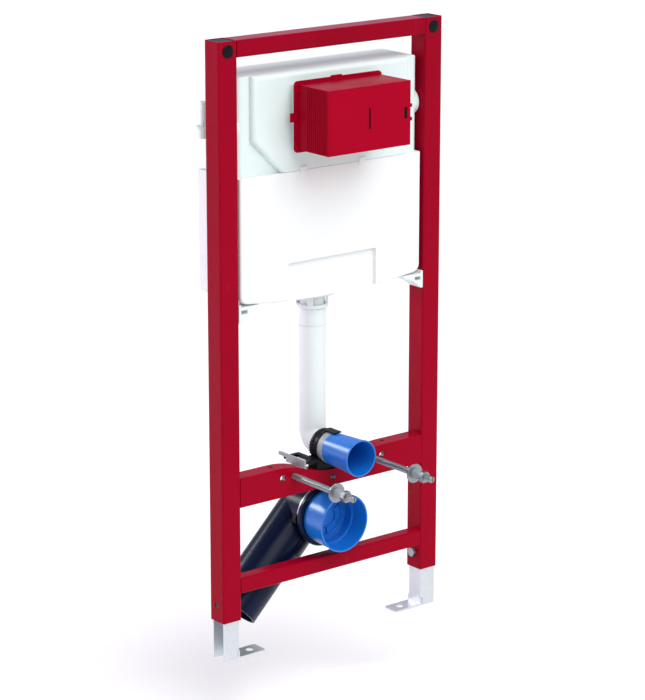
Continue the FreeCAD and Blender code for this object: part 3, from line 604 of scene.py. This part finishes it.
def soft_block(form: bmesh.types.BMesh, size: Vector, place: Matrix, edge: float) -> None:
    """Adds a block with rounded edges.

    Args:
        form: the bmesh that takes the block.
        size: lengths of its sides.
        place: where its middle goes and how it is turned.
        edge: width of the rounded edges.
    """
    made = bmesh.ops.create_cube(form, size=1.0, matrix=place @ Matrix.Diagonal((*size, 1.0)))
    edges = list({line for vert in made["verts"] for line in vert.link_edges})
    bmesh.ops.bevel(
        form, geom=edges, offset=edge, offset_type="OFFSET", segments=2, profile=0.5, affect="EDGES",
        clamp_overlap=True, material=-1,
    )


@dataclass
class BowlStuds:
    """Threaded studs for the bowl, each with a chamfered, slotted tip."""

    half_spacing: float = 0.090
    reach: float = 0.171
    tail: float = 0.018
    major: float = 0.006
    root: float = 0.0055
    pitch: float = 0.00175
    steps: int = 16
    chamfer: float = 0.0012
    slot_wide: float = 0.0016
    slot_deep: float = 0.0025
    lap: float = 0.0001
    sides: int = 32

    def build(self, shop: Workshop) -> None:
        """Makes both studs in the place of their solids.

        Args:
            shop: frame, bodies and materials.
        """
        for side in Side:
            form = bmesh.new()
            x = side.value * self.half_spacing
            self._thread(form, x)
            self._core(form, x)
            self._tip(form, x)
            piece = shop.add(side.word + "_threaded_stud", form, "zinc_steel", "frame", 50.0)
            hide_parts(side.word + "_stud")

    def _thread(self, form: bmesh.types.BMesh, x: float) -> None:
        """Winds one ridge along the stud, from its tail to its tip.

        Args:
            form: the bmesh that takes it.
            x: X of the stud's axis.
        """
        low = FRONT_Y + self.tail - self.chamfer
        length = self.reach + self.tail - self.slot_deep - self.chamfer
        turns = int(length / self.pitch) - 1
        profile = ((self.root, 0.0), (self.major, 0.42), (self.major, 0.58), (self.root, 1.0))
        points = [form.verts.new((x, low - share * self.pitch, STUD_Z + radius)) for radius, share in profile]
        lines = [form.edges.new(pair) for pair in zip(points, points[1:])]
        bmesh.ops.spin(
            form, geom=points + lines, cent=(x, 0.0, STUD_Z), axis=(0.0, 1.0, 0.0),
            dvec=(0.0, -self.pitch / self.steps, 0.0), angle=math.tau * turns, steps=turns * self.steps,
        )
        bmesh.ops.remove_doubles(form, verts=form.verts, dist=MERGE)
        bmesh.ops.recalc_face_normals(form, faces=form.faces)

    def _core(self, form: bmesh.types.BMesh, x: float) -> None:
        """Closed rod inside the ridge, down to the floor of the slot.

        Args:
            form: the bmesh that takes it.
            x: X of the stud's axis.
        """
        core = self.root + self.lap
        length = self.reach + self.tail - self.slot_deep
        profile = ((0.0, 0.0), (core, 0.0), (core, length), (0.0, length))
        lathe(form, profile, Vector((x, FRONT_Y + self.tail, STUD_Z)), FORWARD, self.sides)

    def _tip(self, form: bmesh.types.BMesh, x: float) -> None:
        """Two halves of the tip, with the slot between them.

        Args:
            form: the bmesh that takes it.
            x: X of the stud's axis.
        """
        start = Vector((x, FRONT_Y - self.reach + self.slot_deep, STUD_Z))
        full = self.major - self.lap
        profile = (
            (0.0, 0.0), (full, 0.0), (full, self.slot_deep - self.chamfer),
            (full - self.chamfer, self.slot_deep), (0.0, self.slot_deep),
        )
        for way in (-1.0, 1.0):
            half = bmesh.new()
            lathe(half, profile, start, FORWARD, self.sides)
            bmesh.ops.bisect_plane(
                half, geom=half.verts[:] + half.edges[:] + half.faces[:], dist=MERGE,
                plane_co=start + Vector((way * self.slot_wide / 2, 0.0, 0.0)), plane_no=(-way, 0.0, 0.0),
                clear_outer=True,
            )
            bmesh.ops.holes_fill(half, edges=half.edges, sides=0)
            bmesh.ops.recalc_face_normals(half, faces=half.faces)
            scrap = bpy.data.meshes.new("half_tip")
            half.to_mesh(scrap)
            half.free()
            form.from_mesh(scrap)
            bpy.data.meshes.remove(scrap)


@dataclass
class WeldSeams:
    """Painted weld beads where the rails meet the posts.

    Attributes:
        inner_x: X of the inner faces of the posts.
        radius: radius of a bead.
        ripple: length of one ripple.
        inset: distance from a bead's end to the rail's corner.
        blunt: share of the radius at a bead's ends.
        rails: low Z, high Z and rear Y of each rail, by its name.
    """

    inner_x: float = 0.210
    radius: float = 0.0019
    ripple: float = 0.0026
    inset: float = 0.003
    blunt: float = 0.3
    rails: dict[str, tuple[float, float, float]] = field(default_factory=lambda: {
        "top_rail": (-0.015, 0.015, 0.0),
        "stud_rail": (-0.820, -0.765, -0.008),
        "bottom_rail": (-0.982, -0.952, -0.015),
    })

    def build(self, shop: Workshop) -> None:
        """Lays the beads of each rail at both of its ends.

        Args:
            shop: frame, bodies and materials.
        """
        for name, (low, high, rear) in self.rails.items():
            form = bmesh.new()
            for side in Side:
                x = side.value * self.inner_x
                near, far = FRONT_Y + self.inset, rear - self.inset
                self._bead(form, Vector((x, near, low)), Vector((x, far, low)))
                if name != "top_rail":
                    self._bead(form, Vector((x, near, high)), Vector((x, far, high)))
                self._bead(form, Vector((x, rear, low + self.inset)), Vector((x, rear, high - self.inset)))
            shop.add(name + "_weld_beads", form, "red_powder_coat", "frame", 60.0)

    def _bead(self, form: bmesh.types.BMesh, start: Vector, end: Vector) -> None:
        """Lays one rippled bead between two points.

        Args:
            form: the bmesh that takes it.
            start: first end.
            end: other end.
        """
        heading = (end - start).normalized()
        turn = heading.to_track_quat("Z", "Y").to_matrix().to_4x4()
        length = (end - start).length
        count = max(8, round(length / self.ripple * 5))
        ring = bmesh.ops.create_circle(
            form, cap_ends=True, segments=10, radius=self.radius * self.blunt,
            matrix=Matrix.Translation(start) @ turn,
        )["verts"]
        lines = list({line for vert in ring for line in vert.link_edges})
        before = self.blunt
        for number in range(1, count + 1):
            run = number / count
            wave = 0.86 + 0.14 * abs(math.sin(math.pi * run * length / self.ripple))
            size = wave * min(1.0, self.blunt + 4.0 * run, self.blunt + 4.0 * (1.0 - run))
            made = bmesh.ops.extrude_edge_only(form, edges=lines)["geom"]
            ring = [item for item in made if isinstance(item, bmesh.types.BMVert)]
            lines = [item for item in made if isinstance(item, bmesh.types.BMEdge)]
            lines = [line for line in lines if line.verts[0] in ring and line.verts[1] in ring]
            bmesh.ops.translate(form, verts=ring, vec=heading * (length / count))
            middle = start + heading * (length * run)
            bmesh.ops.scale(
                form, verts=ring, vec=Vector((1.0, 1.0, 1.0)) * (size / before),
                space=Matrix.Translation(-middle),
            )
            before = size
        bmesh.ops.contextual_create(form, geom=lines)
        bmesh.ops.recalc_face_normals(form, faces=form.faces)


@dataclass
class CapFloors:
    """Moulded rings and spokes on the floors of the two blue caps."""

    flush_floor_y: float = -0.0388
    waste_floor_y: float = -0.019

    def build(self, shop: Workshop) -> None:
        """Makes the floor mouldings of both caps."""
        self._floor(shop, "flush_cap_floor", Vector((0.0, self.flush_floor_y, FLUSH_Z)), (0.011, 0.0205), 4)
        self._floor(shop, "waste_cap_floor", Vector((0.0, self.waste_floor_y, WASTE_Z)), (0.020, 0.034), 6)

    @staticmethod
    def _floor(shop: Workshop, name: str, middle: Vector, radii: tuple[float, float], spokes: int) -> None:
        """Makes two rings and the spokes between them.

        Args:
            shop: frame, bodies and materials.
            name: the piece's name.
            middle: centre of the cap's floor.
            radii: radius of each ring.
            spokes: number of spokes.
        """
        form = bmesh.new()
        wall, high, edge = 1.6 * MM, 4.0 * MM, 0.4 * MM
        for radius in radii:
            inner, outer = radius - wall / 2, radius + wall / 2
            profile = (
                (inner, -edge), (inner, high - edge), (inner + edge, high), (outer - edge, high),
                (outer, high - edge), (outer, -edge), (inner, -edge),
            )
            lathe(form, profile, middle, FORWARD, 64)
        reach = radii[1] - radii[0]
        for number in range(spokes):
            turn = Matrix.Rotation(math.tau * (number + 0.5) / spokes, 4, "Y")
            out = Matrix.Translation(((radii[0] + radii[1]) / 2, -high / 2 + edge, 0.0))
            place = Matrix.Translation(middle) @ turn @ out
            soft_block(form, Vector((reach, high - edge, wall)), place, edge)
        shop.add(name, form, "blue_cap", "frame")


@dataclass
class CollarLatch:
    """Ribbed latch on the left of the flush collar and its hinge knuckle on the right."""

    radius: float = 0.031
    front: float = 0.012
    back: float = 0.031
    rib: float = 0.0022
    high: float = 0.0026
    step: float = 9.0
    sunk: float = 0.0008

    def build(self, shop: Workshop) -> None:
        """Makes the ribs and the knuckle.

        Args:
            shop: frame, bodies and materials.
        """
        form = bmesh.new()
        middle_y = FRONT_Y + (self.front + self.back) / 2
        length = self.back - self.front - 1.0 * MM
        for side, count in ((Side.LEFT, 5), (Side.RIGHT, 2)):
            for number in range(count):
                half_turn = math.pi if side is Side.LEFT else 0.0
                lean = math.radians(self.step * (number - (count - 1) / 2)) + half_turn
                turn = Matrix.Translation((0.0, middle_y, FLUSH_Z)) @ Matrix.Rotation(-lean, 4, "Y")
                out = Matrix.Translation((self.radius + self.high / 2 - self.sunk, 0.0, 0.0))
                soft_block(form, Vector((self.high, length, self.rib)), turn @ out, 0.5 * MM)
        shop.add("flush_collar_latch", form, "black_plastic", "frame")


@dataclass
class CoverSlotShade:
    """Black sheets on the floors of the service cover's slot and catch window, which paint the shade in those
    recesses.

    Attributes:
        floor_y: Y of both floors.
        thick: thickness of a painted-shade sheet.
        slot: X, Z, width and height of the slot's painted-shade sheet.
        window: the same for the window's painted-shade sheet.
    """

    floor_y: float = -0.1375
    thick: float = 0.0012
    slot: tuple[float, float, float, float] = (0.0, -0.1295, 0.0044, 0.0368)
    window: tuple[float, float, float, float] = (0.081, -0.1285, 0.0068, 0.0198)

    def build(self, shop: Workshop) -> None:
        """Makes both painted-shade sheets.

        Args:
            shop: frame, bodies and materials.
        """
        form = bmesh.new()
        for x, z, wide, high in (self.slot, self.window):
            place = Matrix.Translation((x, self.floor_y - self.thick / 2, z))
            soft_block(form, Vector((wide, self.thick, high)), place, 0.15 * MM)
        # Black plastic sheets that paint the shade in the slot and the catch window.
        shop.add("service_cover_inserts", form, "black_plastic", "frame")


@dataclass
class LegStops:
    """Small pressed stops along the folded edge of each leg, which mark its height."""

    edge_x: float = 0.2126
    front_y: float = -0.0374
    low: float = 0.020
    pitch: float = 0.005
    count: int = 52

    def build(self, shop: Workshop) -> None:
        """Presses a row of stops into both legs.

        Args:
            shop: frame, bodies and materials.
        """
        for side in Side:
            form = bmesh.new()
            x = side.value * (self.edge_x + 5.0 * MM)
            for number in range(self.count):
                long_mark = number % 5 == 0
                wide = (4.0 if long_mark else 2.2) * MM
                z = FOOT_Z + self.low + number * self.pitch
                place = Vector((x + side.value * wide / 2, self.front_y, z))
                soft_block(form, Vector((wide, 0.3 * MM, 0.7 * MM)), Matrix.Translation(place), 0.1 * MM)
            shop.add(side.word + "_leg_stops", form, "galvanised_leg", side.word + "_leg")


@dataclass(frozen=True)
class StudioCamera:
    """Camera at the viewing angle of the photograph."""

    place: tuple[float, float, float] = (-2.9419, -3.711, 0.7308)
    turn: float = 38.470
    tilt: float = 14.667
    lens: float = 139.75
    lift: float = -0.05

    def build(self) -> None:
        """Makes the camera and hands it to the scene."""
        data = bpy.data.cameras.new("studio_camera")
        data.lens = self.lens
        data.shift_y = self.lift
        data.clip_end = 200.0
        camera = bpy.data.objects.new("studio_camera", data)
        camera.location = self.place
        camera.rotation_euler = (math.radians(90.0 - self.tilt), 0.0, math.radians(-self.turn))
        bpy.context.scene.collection.objects.link(camera)
        bpy.context.scene.camera = camera


@dataclass(frozen=True)
class SoftBox:
    """One area light that is aimed at a point."""

    name: str
    place: tuple[float, float, float]
    aim: tuple[float, float, float]
    size: tuple[float, float]
    power: float
    colour: Colour = (1.0, 1.0, 1.0)

    def build(self) -> None:
        """Makes the light."""
        data = bpy.data.lights.new(self.name, "AREA")
        data.shape = "RECTANGLE"
        data.size, data.size_y = self.size
        data.energy = self.power
        data.color = self.colour
        light = bpy.data.objects.new(self.name, data)
        light.location = self.place
        heading = Vector(self.aim) - Vector(self.place)
        light.rotation_euler = heading.to_track_quat("-Z", "Y").to_euler()
        bpy.context.scene.collection.objects.link(light)


@dataclass(frozen=True)
class KeyLight:
    """Distant key light that is as soft as a large ceiling panel."""

    towards: tuple[float, float, float] = (0.05, -0.64, 0.77)
    strength: float = 2.7
    spread: float = 60.0

    def build(self) -> None:
        """Makes the light."""
        data = bpy.data.lights.new("key_panel", "SUN")
        data.energy = self.strength
        data.angle = math.radians(self.spread)
        light = bpy.data.objects.new("key_panel", data)
        light.rotation_euler = (-Vector(self.towards)).to_track_quat("-Z", "Y").to_euler()
        bpy.context.scene.collection.objects.link(light)


@dataclass(frozen=True)
class Studio:
    """Pale floor that clears the legs at their full reach, bright surround and soft lights."""

    floor_half: float = 60.0
    floor_drop: float = 0.128
    surround: Colour = (0.94, 0.96, 1.0)
    surround_power: float = 0.42
    key: KeyLight = KeyLight()
    lights: tuple[SoftBox, ...] = (
        SoftBox("left_panel", (-2.45, 2.15, -0.35), (0.0, 0.0, -0.5), (0.25, 2.4), 20.0, (0.9, 0.46, 1.0)),
        SoftBox("rear_panel", (1.2, 2.7, 1.0), (0.0, 0.0, -0.6), (2.6, 1.8), 5.0, (0.7, 0.45, 1.0)),
        SoftBox("upper_panel", (-1.5, 2.5, 0.7), (0.0, 0.0, -0.85), (0.7, 0.7), 34.0, (0.97, 1.0, 1.0)),
    )

    def build(self) -> None:
        """Makes the floor, the surround and the lights."""
        form = bmesh.new()
        bmesh.ops.create_grid(form, x_segments=2, y_segments=2, size=self.floor_half)
        bmesh.ops.translate(form, verts=form.verts, vec=Vector((0.0, 0.0, FOOT_Z - self.floor_drop)))
        mesh = bpy.data.meshes.new("studio_floor")
        form.to_mesh(mesh)
        form.free()
        floor = bpy.data.objects.new("studio_floor", mesh)
        bpy.context.scene.collection.objects.link(floor)
        pale = bpy.data.materials.new("studio_floor")
        pale.use_nodes = True
        shader = pale.node_tree.nodes["Principled BSDF"]
        shader.inputs["Base Color"].default_value = (0.95, 0.95, 0.95, 1.0)
        shader.inputs["Roughness"].default_value = 0.9
        shader.inputs["Specular IOR Level"].default_value = 0.0
        mesh.materials.append(pale)
        world = bpy.data.worlds.new("studio_surround")
        world.use_nodes = True
        glow = world.node_tree.nodes["Background"]
        glow.inputs["Color"].default_value = (*self.surround, 1.0)
        glow.inputs["Strength"].default_value = self.surround_power
        bpy.context.scene.world = world
        bpy.context.scene.view_settings.view_transform = "Standard"
        self.key.build()
        for light in self.lights:
            light.build()


def main() -> None:
    """Builds the camera, the studio and every sub-assembly in order."""
    logging.basicConfig(level=logging.INFO, format="%(name)s: %(message)s")
    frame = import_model()
    StudioCamera().build()
    Studio().build()
    effects = EffectLibrary()
    materials = {finish.slot: finish.material(effects) for finish in FINISHES}
    shop = Workshop(frame, materials)
    for node in frame["nodes"]:
        shop.dress_node(node)
    SoftenedSolids().build(shop)
    for assembly in (BowlStuds(), WeldSeams(), CapFloors(), CollarLatch(), CoverSlotShade(), LegStops()):
        assembly.build(shop)


if __name__ == "__main__":
    main()
